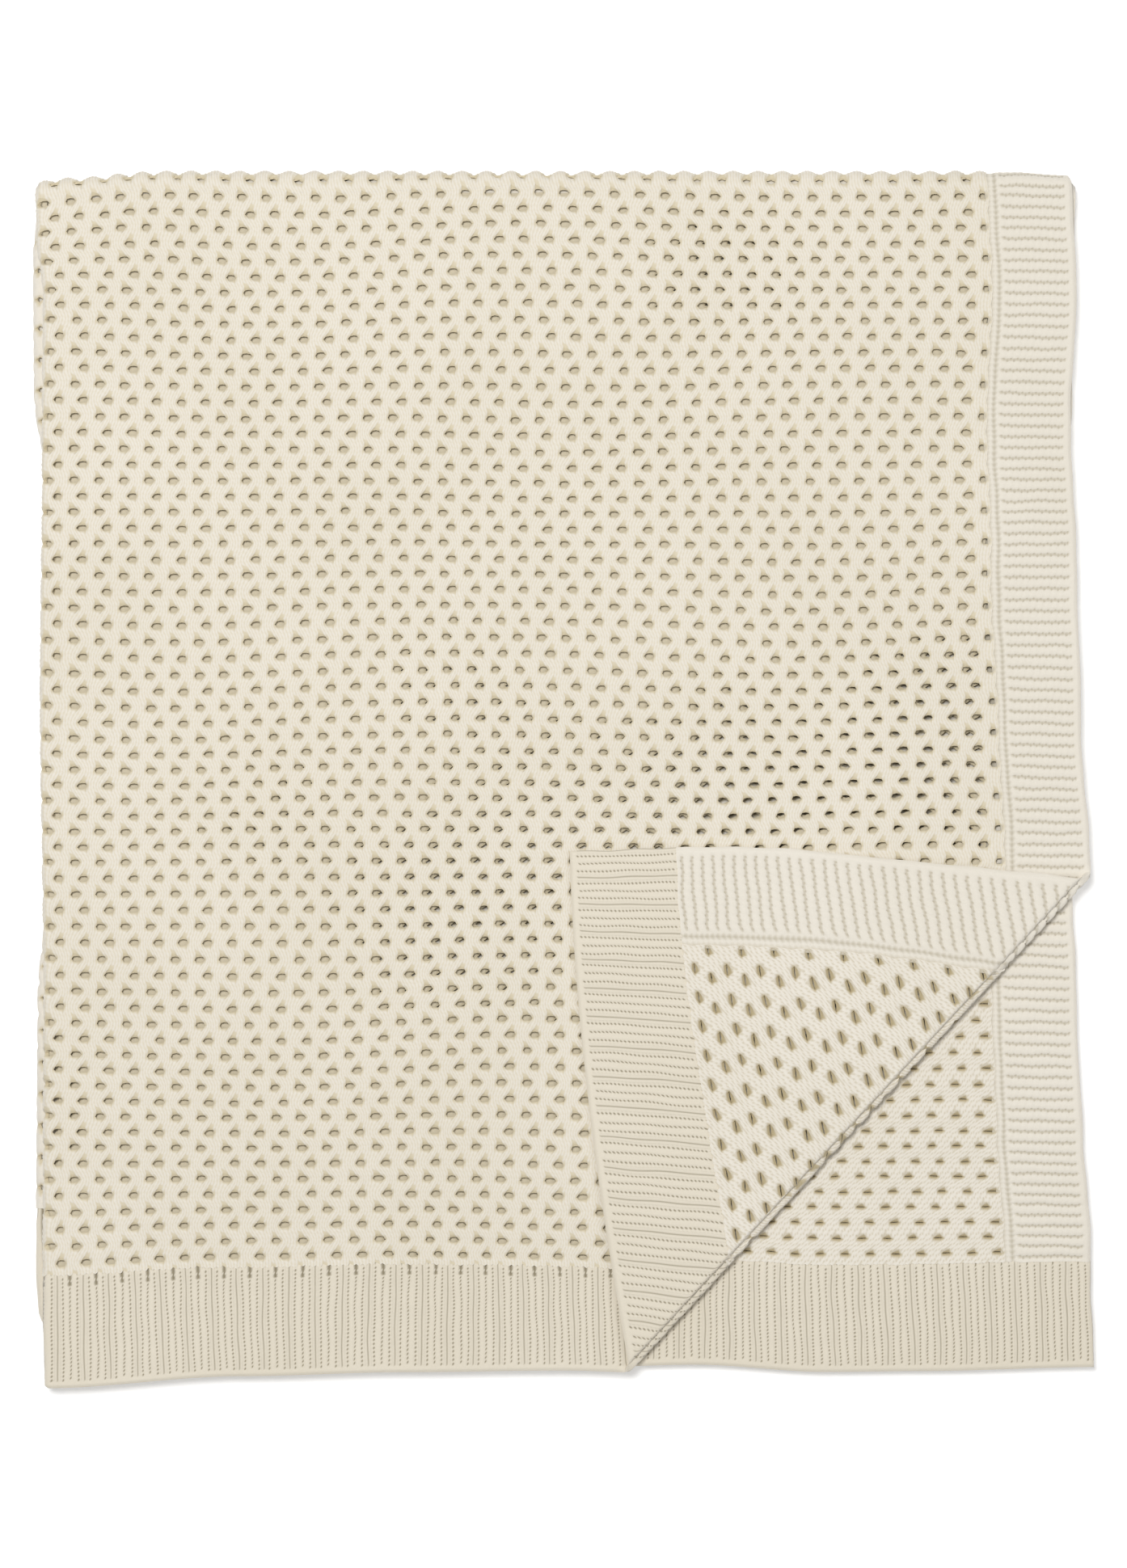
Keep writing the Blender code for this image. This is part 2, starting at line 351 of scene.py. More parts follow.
class Repeat:
    """One repeat of a stitch pattern: right side, wrong side, its holes' walls and its edges."""

    def __init__(self, name, width, height, columns, rows, back_columns, back_rows):
        self.name, self.width, self.height = name, width, height
        self.front = (columns, rows)
        self.back = (back_columns, back_rows)
        self.points, self.crest, self.faces = [], [], []
        self.slit_walls = []

    def add_side(self, place, size, slits, upward):
        """place(i, j, lip) gives a vertex of one side; slits are (first, last column, row)."""
        columns, rows = size
        grid = {}
        for j in range(rows + 1):
            for i in range(columns + 1):
                lips = [0]
                for first, last, row in slits:
                    if j == row and first < i < last:
                        lips = [-1, 1]
                for lip in lips:
                    point, crest = place(i, j, lip)
                    grid[i, j, lip] = len(self.points)
                    self.points.append(point)
                    self.crest.append(crest)

        def at(i, j, lip):
            return grid.get((i, j, 0), grid.get((i, j, lip)))

        for j in range(rows):
            for i in range(columns):
                face = [at(i, j, 1), at(i + 1, j, 1), at(i + 1, j + 1, -1), at(i, j + 1, -1)]
                self.faces.append(face if upward else face[::-1])
        return at

    def add_sides(self, place, slits=((), ())):
        """Right side, then wrong side: place(i, j, lip, size, side) gives their vertices."""
        self.front_at = self.add_side(
            lambda i, j, lip: place(i, j, lip, self.front, 1), self.front, slits[0], True)
        self.back_at = self.add_side(
            lambda i, j, lip: place(i, j, lip, self.back, -1), self.back, slits[1], False)

    def zip_up(self, front, back, flip=False):
        """Faces between a run of right side vertices and the wrong side's run beside it. One
        run may have a whole number of times as many steps as the other."""
        found = []
        fine, coarse = (front, back) if len(front) >= len(back) else (back, front)
        every = (len(fine) - 1) // (len(coarse) - 1)
        for m in range(len(coarse) - 1):
            for k in range(every):
                near = coarse[m] if 2 * k < every else coarse[m + 1]
                found.append([fine[m * every + k], fine[m * every + k + 1], near])
            middle = fine[m * every + (every + 1) // 2]
            found.append([middle, coarse[m + 1], coarse[m]])
        if (fine is back) != flip:
            found = [face[::-1] for face in found]
        return found

    def objects(self):
        """The repeat's mesh and its four edge walls, as objects for the knitting tree."""
        made = {"Repeat": self.mesh_object("", self.faces + self.slit_walls)}
        (columns, rows), (back_columns, back_rows) = self.front, self.back
        f, b = self.front_at, self.back_at
        runs = {
            "Left": ([f(0, j, 1) for j in range(rows + 1)],
                     [b(0, j, 1) for j in range(back_rows + 1)], False),
            "Right": ([f(columns, j, 1) for j in range(rows + 1)],
                      [b(back_columns, j, 1) for j in range(back_rows + 1)], True),
            "Lower": ([f(i, 0, 1) for i in range(columns + 1)],
                      [b(i, 0, 1) for i in range(back_columns + 1)], True),
            "Upper": ([f(i, rows, 1) for i in range(columns + 1)],
                      [b(i, back_rows, 1) for i in range(back_columns + 1)], False),
        }
        for side, (front, back, flip) in runs.items():
            made[side] = self.mesh_object(f"_{side}", self.zip_up(front, back, flip))
        return made

    def mesh_object(self, suffix, faces):
        """An object of these faces alone; the walls, of the holes too, are shaded flat."""
        used = sorted({i for face in faces for i in face})
        number = {i: k for k, i in enumerate(used)}
        mesh = bpy.data.meshes.new(self.name + suffix)
        points = [self.points[i] for i in used]
        mesh.from_pydata(points, [], [[number[i] for i in face] for face in faces])
        smooth = [not suffix and i < len(self.faces) for i in range(len(faces))]
        mesh.polygons.foreach_set("use_smooth", smooth)
        # The crest attribute carries the painted shade: 1 gives the cotton's own colour, 0 its
        # painted valley shade.
        crest = mesh.attributes.new("crest", "FLOAT", "POINT")
        crest.data.foreach_set("value", [self.crest[i] for i in used])
        return bpy.data.objects.new(self.name + suffix, mesh)


def knitting_tree():
    """Puts a repeat on every point, and a wall on every edge of it that is marked open."""
    tree = bpy.data.node_groups.new("knitting", "GeometryNodeTree")
    face = tree.interface
    face.new_socket("Geometry", in_out="INPUT", socket_type="NodeSocketGeometry")
    for name in ("Repeat", "Left", "Right", "Lower", "Upper"):
        face.new_socket(name, in_out="INPUT", socket_type="NodeSocketObject")
    face.new_socket("Join Within", in_out="INPUT", socket_type="NodeSocketFloat")
    face.new_socket("Cotton", in_out="INPUT", socket_type="NodeSocketMaterial")
    face.new_socket("Geometry", in_out="OUTPUT", socket_type="NodeSocketGeometry")
    nodes, links = tree.nodes, tree.links
    given, result = nodes.new("NodeGroupInput"), nodes.new("NodeGroupOutput")
    join = nodes.new("GeometryNodeJoinGeometry")
    for name in ("Repeat", "Left", "Right", "Lower", "Upper"):
        info = nodes.new("GeometryNodeObjectInfo")
        put = nodes.new("GeometryNodeInstanceOnPoints")
        links.new(given.outputs[name], info.inputs["Object"])
        links.new(info.outputs["Geometry"], put.inputs["Instance"])
        links.new(given.outputs["Geometry"], put.inputs["Points"])
        if name != "Repeat":
            marked = nodes.new("GeometryNodeInputNamedAttribute")
            marked.data_type = "BOOLEAN"
            marked.inputs["Name"].default_value = name
            links.new(marked.outputs["Attribute"], put.inputs["Selection"])
        links.new(put.outputs["Instances"], join.inputs["Geometry"])
    real = nodes.new("GeometryNodeRealizeInstances")
    weld = nodes.new("GeometryNodeMergeByDistance")
    dress = nodes.new("GeometryNodeSetMaterial")
    links.new(join.outputs["Geometry"], real.inputs["Geometry"])
    links.new(real.outputs["Geometry"], weld.inputs["Geometry"])
    links.new(given.outputs["Join Within"], weld.inputs["Distance"])
    links.new(weld.outputs["Geometry"], dress.inputs["Geometry"])
    links.new(given.outputs["Cotton"], dress.inputs["Material"])
    links.new(dress.outputs["Geometry"], result.inputs["Geometry"])
    return tree


knitting = knitting_tree()
JOIN_WITHIN = 0.00003  # repeats side by side meet exactly, and are joined there
EDGE_ROUNDING = 0.0022


def soft_edges(points):
    """The cloth thins to a rounded edge at its selvedges and its hems."""
    s, v, n = points.T
    edge = np.minimum(half_width - np.abs(s), np.minimum(v, cloth_length - v))
    inside = np.clip(edge / EDGE_ROUNDING, 0.0, 1.0)
    return np.stack((s, v, n * (0.12 + 0.88 * np.sqrt(1 - (1 - inside) ** 2))), axis=1)


knitted_flat = {}  # each piece's points as they were before it was folded


def knit(name, repeat, cells, origin, material):
    """A piece of the folded throw: the repeats at these (column, row) cells, from origin."""
    cells = sorted(cells)
    have = set(cells)
    mesh = bpy.data.meshes.new(name + "_cells")
    corners = [(origin[0] + c * repeat.width, origin[1] + r * repeat.height, 0) for c, r in cells]
    mesh.from_pydata(corners, [], [])
    around = {"Left": (-1, 0), "Right": (1, 0), "Lower": (0, -1), "Upper": (0, 1)}
    for side, (dc, dr) in around.items():
        mark = mesh.attributes.new(side, "BOOLEAN", "POINT")
        mark.data.foreach_set("value", [(c + dc, r + dr) not in have for c, r in cells])
    flat = bpy.data.objects.new(name + "_flat", mesh)
    bpy.context.scene.collection.objects.link(flat)
    modifier = flat.modifiers.new("knitting", "NODES")
    modifier.node_group = knitting
    given = {**repeat.parts, "Join Within": JOIN_WITHIN, "Cotton": material}
    for item in knitting.interface.items_tree:
        if item.in_out == "INPUT" and item.name in given:
            modifier[item.identifier] = given[item.name]
    bpy.context.view_layer.update()
    evaluated = flat.evaluated_get(bpy.context.evaluated_depsgraph_get())
    done = bpy.data.meshes.new_from_object(evaluated)
    bpy.data.objects.remove(flat)
    done.name = name

    points = np.empty(len(done.vertices) * 3, np.float32)
    done.vertices.foreach_get("co", points)
    points = points.reshape(-1, 3).astype(float)
    folded = fold_cloth(soft_edges(points))
    done.vertices.foreach_set("co", folded.astype(np.float32).ravel())
    done.update()
    piece = bpy.data.objects.new(name, done)
    bpy.context.scene.collection.objects.link(piece)
    knitted_flat[piece] = points
    return piece


# ---------------------------------------------------------------------------------------
# The openwork field
# An eyelet mesh of the same cotton: rows of eyelets, each half a repeat along from the last.
# The wales between them sway to one side at one row of eyelets and to the other at the next.
# It is knitted in one with the borders and the hems, so nothing fastens it.

WALES, COURSES = 4, 6  # in one repeat
NARROW_OPENS, WIDE_OPENS, WIDE_WIDTH = 0.30, 1.6, 1.35
LIP_FADES, SPREAD_FADES = 0.0030, 0.0024  # how fast the knit closes up away from an eyelet
HOLLOW_WIDTH, HOLLOW_HEIGHT = 0.0011, 0.0016  # the cloth sinks round each eyelet
GROOVE_WIDTH, GROOVE_LENGTH = 0.0011, 0.0066  # and in a short groove above it,
GROOVE_ENDS = 0.0064  # which stops here, where it is next to nothing
SAME_ROW = 1e-9


def openwork(name, height, front, back, hole, shaded=(), narrow=(), wide=()):
    """hole is an eyelet's width, how far it opens up from its row and how far down. shaded
    names the sides, 1 or -1, that lie against another layer and only show through eyelets.
    On a narrow side the eyelets close to a slit, and on a wide one they flare."""
    up, down = hole[1:]
    repeat = Repeat(name, eyelet_pitch, height, *front, *back)
    stitch = eyelet_pitch / WALES
    half_slit = stitch / 2
    eyelets = ((0.25, 1 / 3), (0.75, 5 / 6))

    def wrapped(distance, period):
        return (distance + period / 2) % period - period / 2

    def place(i, j, lip, size, side):
        across, along = i / size[0], j / size[1]
        s, v = across * eyelet_pitch, along * height
        wale = (across * WALES + 0.25) % 1.0
        course = (along * COURSES + 0.5) % 1.0
        slant = (abs(wale - 0.5) - 0.25) * 4
        crown = 1.0 - abs(abs(wale - 0.5) - 0.25) * 4
        swell = 1.0 - abs(course - 0.5) * 2 if size[1] > COURSES else 0.5
        near = 0.0
        groove = 0.0
        opening = NARROW_OPENS if side in narrow else WIDE_OPENS if side in wide else 1.0
        width = hole[0] * (WIDE_WIDTH if side in wide else 1.0)
        ds = dv = 0.0
        for at_s, at_v in eyelets:
            x = wrapped(s - at_s * eyelet_pitch, eyelet_pitch)
            y = wrapped(v - at_v * height, height)
            above = y > SAME_ROW or (abs(y) <= SAME_ROW and lip == 1)
            fade = math.exp(-abs(y) / LIP_FADES)
            across_slit = min(1.0, abs(x) / half_slit)
            if above:
                arch = 0.85 * (1 - across_slit ** 3) + 0.15 * (1 - across_slit)
                dv += opening * up * arch * fade
            elif y < -SAME_ROW or lip == -1:
                dv -= opening * down * (1 - across_slit ** 3) * fade
            spread = math.exp(-((y / SPREAD_FADES) ** 2))
            if abs(x) <= half_slit:
                moved = math.copysign(width / 2 * across_slit ** 0.6, x)
            else:
                rest = (eyelet_pitch / 2 - width / 2) / (eyelet_pitch / 2 - half_slit)
                moved = math.copysign(width / 2 + (abs(x) - half_slit) * rest, x)
            ds += (moved - x) * spread
            beside = max(abs(x) - half_slit, 0.0)
            hollow = math.exp(-((beside / HOLLOW_WIDTH) ** 2) - (y / HOLLOW_HEIGHT) ** 2)
            near = max(near, hollow)
            if above and y < GROOVE_ENDS:
                along_groove = 1 - (y / GROOVE_LENGTH) ** 2
                groove = max(groove, math.exp(-((x / GROOVE_WIDTH) ** 2)) * along_groove)
        if side > 0:
            height_here = 0.62 + 0.38 * (0.35 + 0.65 * crown) * (0.60 + 0.40 * swell)
            height_here *= 1 - 0.45 * groove
            dv += slant * 0.20 * height / COURSES * (1 - near)
        else:
            bump = 0.5 - 0.5 * slant * (1 if course < 0.25 or course > 0.75 else -1)
            height_here = 0.72 + 0.27 * bump
            dv += slant * 0.16 * height / COURSES * (1 - near)
        n = height_here * (1 - 0.60 * near)
        if lip:
            n = 0.18
        # Painted shade: the colour darkens on low stitches, round each eyelet and in the groove
        # above it, and more on shaded sides, which lie against another layer.
        crest = min(1.0, (height_here - 0.52) / 0.44) * (1 - 0.9 * near) * (1 - 0.35 * groove)
        crest *= 0.40 if side in shaded else 1.0
        return (s + ds, v + dv, side * n * half_cloth), min(max(crest, 0.0), 1.0)

    slits = []
    for size in (repeat.front, repeat.back):
        columns, rows = size
        slits.append([(round((at_s - 0.125) * columns), round((at_s + 0.125) * columns),
                       round(at_v * rows)) for at_s, at_v in eyelets])
    repeat.add_sides(place, slits)
    for (first, last, row), (back_first, back_last, back_row) in zip(*slits):
        for lip, flip in ((1, True), (-1, False)):
            front_run = [repeat.front_at(i, row, lip) for i in range(first, last + 1)]
            back_run = [repeat.back_at(i, back_row, lip)
                        for i in range(back_first, back_last + 1)]
            repeat.slit_walls += repeat.zip_up(front_run, back_run, flip)
    repeat.parts = repeat.objects()
    return repeat


# The valley colours are painted shade, the dark of the knit's hollows and of what shows through
# its eyelets.
CREAM_CREST, CREAM_VALLEY_SHADE = (0.810, 0.762, 0.675), (0.67, 0.59, 0.42)
field_cotton = cotton("openwork_cotton", CREAM_CREST, CREAM_VALLEY_SHADE)
# The same cotton with a darker painted shade, for the turned back corner, its fold and the bared
# part of the second layer, so their eyelets look darker.
reverse_shaded_cotton = cotton("reverse_openwork_shaded_cotton", CREAM_CREST, (0.50, 0.42, 0.26))
EYELET = (0.0064, 0.0020, 0.0017)
FINE, COARSE = (16, 12), (8, 6)

top_repeat = openwork("top_repeat", eyelet_repeat, FINE, COARSE, EYELET,
                      shaded=(-1,), wide=(-1,))
rolled_repeat = openwork("rolled_repeat", eyelet_repeat, FINE, FINE,
                         (0.0060, 0.0013, 0.0012), narrow=(1,))
turned_repeat = openwork("turned_repeat", eyelet_repeat, COARSE, FINE,
                         (0.0060, 0.0014, 0.0013), narrow=(1,))
bared_repeat = openwork("bared_repeat", eyelet_repeat, COARSE, FINE,
                        (0.0052, 0.0008, 0.0007), narrow=(1,))
plain_repeat = openwork("plain_repeat", eyelet_repeat, COARSE, COARSE, EYELET, shaded=(-1,))
lower_plain_repeat = openwork("lower_plain_repeat", lower_repeat, COARSE, COARSE, EYELET)
fold_repeat = openwork("fold_repeat", fold_row, FINE, COARSE, (0.0060, 0.0015, 0.0013))
inner_fold_repeat = openwork("inner_fold_repeat", fold_row, COARSE, COARSE,
                             (0.0060, 0.0010, 0.0009))

field_origin = (eyelet_pitch / 2, hem_height)
lower_field_origin = (eyelet_pitch / 2, lower_start)
fold_origin = (eyelet_pitch / 2, upper_end)


def beyond_corner(column, row, origin, repeat):
    """How far the cell's nearest and furthest corners lie beyond the corner's fold line."""
    found = []
    for c in (column, column + 1):
        for r in (row, row + 1):
            x = fold_centre_x - side_arc + abs(origin[0] + c * repeat.width)
            y = upper_hem_y + origin[1] + r * repeat.height + TOP_HEM[1][-1]
            found.append(past_corner_fold(x, y))
    return min(found), max(found)


def by_corner(cells, origin, repeat):
    """Cells parted into those short of the corner's fold, on it and beyond it."""
    flat, fold, corner = [], [], []
    for cell in cells:
        nearest, furthest = beyond_corner(*cell, origin, repeat)
        part = flat if furthest < 0 else corner if nearest > corner_roll else fold
        part.append(cell)
    return flat, fold, corner


def grid(columns, rows):
    """Every (column, row) cell of a block."""
    return [(c, r) for c in columns for r in rows]


def lay(piece, body, nodes, cells, repeat):
    """Fix a finished piece of cloth on its body, in place of its plain solids; a piece on a bend
    is fixed on no body, its transform only baked into its mesh.

    body is a name, or two names with the heights where a piece's bend begins and ends and how
    much longer than the cloth's middle the piece is round the bend. The names and heights are not
    used, and the length only goes into an area that is not used."""
    area = len(cells) * repeat.width * repeat.height
    area *= 1.0 if isinstance(body, str) else body[4]
    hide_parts(*nodes)
    if isinstance(body, str):
        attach(piece, body)
    else:
        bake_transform(piece)


right_columns = range(0, EYELET_COLUMNS)
left_columns = range(-EYELET_COLUMNS - 1, -1)
longer = fold_length / fold_row * side_radius / top_radius
# the far fold bends between the heights of the outer pair of layers, and of the inner pair
OUTER_BEND = ("lower_half", "upper_half", 0.0024, 0.0173, 1 + longer)
INNER_BEND = ("lower_half", "upper_half", 0.0074, 0.0123, 1 - longer)
corner_bend_start, corner_bend_end = top_high[2] + 0.0007, top_high[2] + 0.0017
CORNER_BEND = ("upper_half", "corner_flap", corner_bend_start, corner_bend_end, 1.0)

flat_cells, fold_cells, corner_cells = by_corner(
    grid(right_columns, range(EYELET_ROWS)), field_origin, top_repeat)
ROWS_A_PIECE = 9
for number, first in enumerate(range(0, EYELET_ROWS, ROWS_A_PIECE)):
    cells = [(c, r) for c, r in flat_cells if first <= r < first + ROWS_A_PIECE]
    piece = knit(f"top_openwork_{number + 1}", top_repeat, cells, field_origin, field_cotton)
    lay(piece, "upper_half", ["top_layer_openwork"], cells, top_repeat)

piece = knit("corner_fold_openwork", rolled_repeat, fold_cells, field_origin, reverse_shaded_cotton)
lay(piece, CORNER_BEND, ["corner_fold"], fold_cells, rolled_repeat)
piece = knit("turned_corner_openwork", turned_repeat, corner_cells, field_origin, reverse_shaded_cotton)
lay(piece, "corner_flap", ["corner_openwork"], corner_cells, turned_repeat)

covered, *bared = by_corner(grid(left_columns, range(EYELET_ROWS)), field_origin, top_repeat)
bared = bared[0] + bared[1]
split = EYELET_ROWS * 2 // 3
for name, cells, repeat in (
        ("second_openwork_low", [c for c in covered if c[1] < split], plain_repeat),
        ("second_openwork_high", [c for c in covered if c[1] >= split], plain_repeat),
        ("second_openwork_bared", bared, bared_repeat)):
    yarn = reverse_shaded_cotton if repeat is bared_repeat else field_cotton
    piece = knit(name, repeat, cells, field_origin, yarn)
    lay(piece, "upper_half", ["second_layer_openwork"], cells, repeat)

split = LOWER_EYELET_ROWS // 2
for layer, columns in (("third", left_columns), ("bottom", right_columns)):
    for part, rows in (("high", range(split)), ("low", range(split, LOWER_EYELET_ROWS))):
        cells = grid(columns, rows)
        piece = knit(f"{layer}_openwork_{part}", lower_plain_repeat, cells,
                     lower_field_origin, field_cotton)
        nodes = [f"{layer}_layer_openwork"]
        lay(piece, "lower_half", nodes, cells, lower_plain_repeat)

cells = grid([-1], range(EYELET_ROWS))
piece = knit("upper_left_fold_openwork", top_repeat, cells, field_origin, field_cotton)
lay(piece, "upper_half", ["upper_left_fold"], cells, top_repeat)
cells = grid([-1], range(LOWER_EYELET_ROWS))
piece = knit("lower_left_fold_openwork", lower_plain_repeat, cells, lower_field_origin,
             field_cotton)
lay(piece, "lower_half", ["lower_left_fold"], cells, lower_plain_repeat)

for name, bend, columns, repeat in (
        ("top_fold_outer", OUTER_BEND, [-1, *right_columns], fold_repeat),
        ("top_fold_inner", INNER_BEND, left_columns, inner_fold_repeat)):
    cells = grid(columns, [0])
    piece = knit(f"{name}_openwork", repeat, cells, fold_origin, field_cotton)
    lay(piece, bend, [name], cells, repeat)


# ---------------------------------------------------------------------------------------
# The side borders
# Garter stitch along both long edges, in the same cotton and knitted in one with the field:
# ridges with dotted grooves between them, two plain wales where the openwork begins, and a
# smooth chain of edge stitches.

RIDGES, FOLD_RIDGES, LOWER_RIDGES = 98, 4, 93
ridge = (upper_end - hem_height) / RIDGES
fold_ridge = fold_row / FOLD_RIDGES
lower_ridge = (cloth_length - hem_height - lower_start) / LOWER_RIDGES
PLAIN_WALES, EDGE_CHAIN = 0.0092, 0.0056
STITCHES = 9
WALE_STEPS, STITCH_STEPS, CHAIN_STEPS = 4, 36, 4


def garter(name, height, front, back, mirrored=False):
    """One ridge, or two halves of one, from the openwork out to the edge of the cloth."""
    repeat = Repeat(name, knit_border, height, *front, *back)
    knitted = knit_border - PLAIN_WALES - EDGE_CHAIN
    rows_at = [0.0, 0.26, 0.41, 0.5, 0.59, 0.74, 1.0]

    def spacing(across):
        """Even steps over the stitches and other ones over the plain wales and the chain."""
        steps = WALE_STEPS + STITCH_STEPS + CHAIN_STEPS
        turn = across * steps
        if turn <= WALE_STEPS:
            return turn / WALE_STEPS * PLAIN_WALES
        if turn >= steps - CHAIN_STEPS:
            return knit_border - (steps - turn) / CHAIN_STEPS * EDGE_CHAIN
        return PLAIN_WALES + (turn - WALE_STEPS) / STITCH_STEPS * knitted

    def place(i, j, lip, size, side):
        across = i / size[0]
        along = rows_at[j] if size[1] == 6 else j / size[1]
        s, v = spacing(1 - across if mirrored else across), along * height
        turn = (s - PLAIN_WALES) / knitted * STITCHES
        dv = 0.0
        if s < PLAIN_WALES - 1e-6:
            leg = 0.5 + 0.5 * math.cos(4 * math.pi * (s / PLAIN_WALES - 0.25))
            joined = 0.5 + 0.5 * math.cos(4 * math.pi * along)
            n = 0.60 + 0.32 * leg - 0.16 * joined
            dv = 0.12 * height * (leg - 0.5)
            if s < 1e-6:
                s, n, dv = -0.0022, 0.34, 0.0
        elif s > knit_border - EDGE_CHAIN + 1e-6:
            n = 0.78 + 0.14 * math.sin(math.pi * (knit_border - s) / EDGE_CHAIN)
        else:
            groove = math.exp(-(((along - 0.5) / 0.13) ** 2))
            dots = 0.5 + 0.5 * math.cos(4 * math.pi * turn)
            n = 0.94 - (0.38 + 0.26 * dots) * groove
            n -= 0.10 * (0.5 - 0.5 * math.cos(2 * math.pi * turn)) * (1 - groove)
            dv = 0.10 * height * math.cos(2 * math.pi * turn) * groove
        # Painted shade: the lower the knit, the darker its colour, so the grooves and their dots
        # are painted darker.
        crest = min(max((n - 0.42) / 0.45, 0.0), 1.0)
        s = knit_border - s if mirrored else s
        return (s, v + dv, side * n * half_cloth), crest

    repeat.add_sides(place)
    repeat.parts = repeat.objects()
    return repeat


# Its valley colour is painted shade.
garter_cotton = cotton("garter_cotton", (0.790, 0.742, 0.652), (0.56, 0.51, 0.41))
FINE, COARSE = (44, 6), (22, 2)
top_ridge = garter("top_ridge", ridge, FINE, COARSE)
turned_ridge = garter("turned_ridge", ridge, FINE, FINE)
plain_ridge = garter("plain_ridge", ridge, COARSE, COARSE, mirrored=True)
bared_ridge = garter("bared_ridge", ridge, COARSE, FINE, mirrored=True)
third_ridge = garter("third_ridge", lower_ridge, COARSE, COARSE, mirrored=True)
bottom_ridge = garter("bottom_ridge", lower_ridge, COARSE, COARSE)
outer_fold_ridge = garter("outer_fold_ridge", fold_ridge, FINE, COARSE)
inner_fold_ridge = garter("inner_fold_ridge", fold_row, COARSE, COARSE, mirrored=True)

right_side, left_side = half_width - knit_border, -half_width
right_origin, left_origin = (right_side, hem_height), (left_side, hem_height)
fold_right_origin, fold_left_origin = (right_side, upper_end), (left_side, upper_end)
lower_right_origin, lower_left_origin = (right_side, lower_start), (left_side, lower_start)

upper_ridges = grid([0], range(RIDGES))
fold_ridges, lower_ridges = grid([0], range(FOLD_RIDGES)), grid([0], range(LOWER_RIDGES))
flat_cells, fold_cells, corner_cells = by_corner(upper_ridges, right_origin, top_ridge)
bared = [cell for cell in upper_ridges if cell not in flat_cells]
for name, body, nodes, cells, repeat, origin in (
        ("top_side_border", "upper_half", ["top_layer_side_border"],
         flat_cells, top_ridge, right_origin),
        ("corner_fold_side_border", CORNER_BEND, ["corner_fold"],
         fold_cells, turned_ridge, right_origin),
        ("turned_corner_border", "corner_flap", ["corner_side_border"],
         corner_cells, turned_ridge, right_origin),
        ("second_side_border", "upper_half", ["second_layer_side_border"],
         flat_cells, plain_ridge, left_origin),
        ("second_side_border_bared", "upper_half", ["second_layer_side_border"],
         bared, bared_ridge, left_origin),
        ("top_fold_outer_border", OUTER_BEND, ["top_fold_outer"],
         fold_ridges, outer_fold_ridge, fold_right_origin),
        ("top_fold_inner_border", INNER_BEND, ["top_fold_inner"],
         [(0, 0)], inner_fold_ridge, fold_left_origin),
        ("third_side_border", "lower_half", ["third_layer_side_border"],
         lower_ridges, third_ridge, lower_left_origin),
        ("bottom_side_border", "lower_half", ["bottom_layer_side_border"],
         lower_ridges, bottom_ridge, lower_right_origin)):
    piece = knit(name, repeat, cells, origin, garter_cotton)
    lay(piece, body, nodes, cells, repeat)


# ---------------------------------------------------------------------------------------
# The hems
# Ribbing across both short edges, in the same cotton and knitted in one with the field: a
# pair of slim plain wales, then a broad run of purl stitches that shows as lines of small
# dots. Two marks head each rib, and it is bound off flat along the outer edge.

RIBS = 40
rib_pitch = half_width / (RIBS + 0.5)
RIB_COURSES = 28
RIB_STEPS = 18
BOUND_OFF = 0.0045
MARKS_REACH, MARK_EVERY, MARK_LENGTH = 0.0085, 0.0043, 0.0027
TUCKED_UNDER = 0.0018  # how far a hem's inner end runs on, under the openwork's edge


def rib(name, front, back, mirrored=False):
    """One rib of a hem, from its outer edge in, or the other way round if mirrored."""
    repeat = Repeat(name, rib_pitch, hem_height, *front, *back)

    def place(i, j, lip, size, side):
        across, along = i / size[0], j / size[1]
        s, v = across * rib_pitch, along * hem_height
        from_edge = hem_height - v if mirrored else v
        course = (along * RIB_COURSES) % 1.0
        column = round(across * RIB_STEPS)
        on_course = course < 0.25 or course > 0.75
        if column <= 2 or column >= 16:
            n = 0.56 if column in (0, 18) else 0.94 if column in (1, 17) else 0.74
        else:
            n = 0.88 if on_course == (column in (6, 7, 11, 12)) else 0.78
            if column in (4, 14):
                n = 0.38 if on_course else 0.80
            if column == (9 if size[0] == RIB_STEPS else 8):
                n = 0.80 if on_course else 0.38
            below = hem_height - from_edge
            marked = below < MARKS_REACH and below % MARK_EVERY < MARK_LENGTH
            if side > 0 and marked and 8 <= column <= 10:
                n = 0.10 if column == 9 else 0.60
        if from_edge < BOUND_OFF:
            n = 0.80
        # Painted shade: the lower the knit, the darker its colour, so the purl dots and the marks
        # heading each rib are painted dark.
        crest = min(max((n - 0.42) / 0.46, 0.0), 1.0)
        if from_edge > hem_height - 1e-6:
            v += TUCKED_UNDER * (-1 if mirrored else 1)
            n = 0.45
        return (s, v, side * n * half_cloth), crest

    repeat.add_sides(place)
    repeat.parts = repeat.objects()
    return repeat


# Its dark valley colour is painted shade, for the purl dots and the marks.
rib_cotton = cotton("rib_cotton", (0.755, 0.694, 0.578), (0.31, 0.27, 0.19))
FINE, COARSE = (18, 56), (9, 14)
top_rib = rib("top_rib", FINE, COARSE)
turned_rib = rib("turned_rib", FINE, FINE)
plain_rib = rib("plain_rib", COARSE, COARSE)
bared_rib = rib("bared_rib", COARSE, FINE)
lower_rib = rib("lower_rib", COARSE, COARSE, mirrored=True)

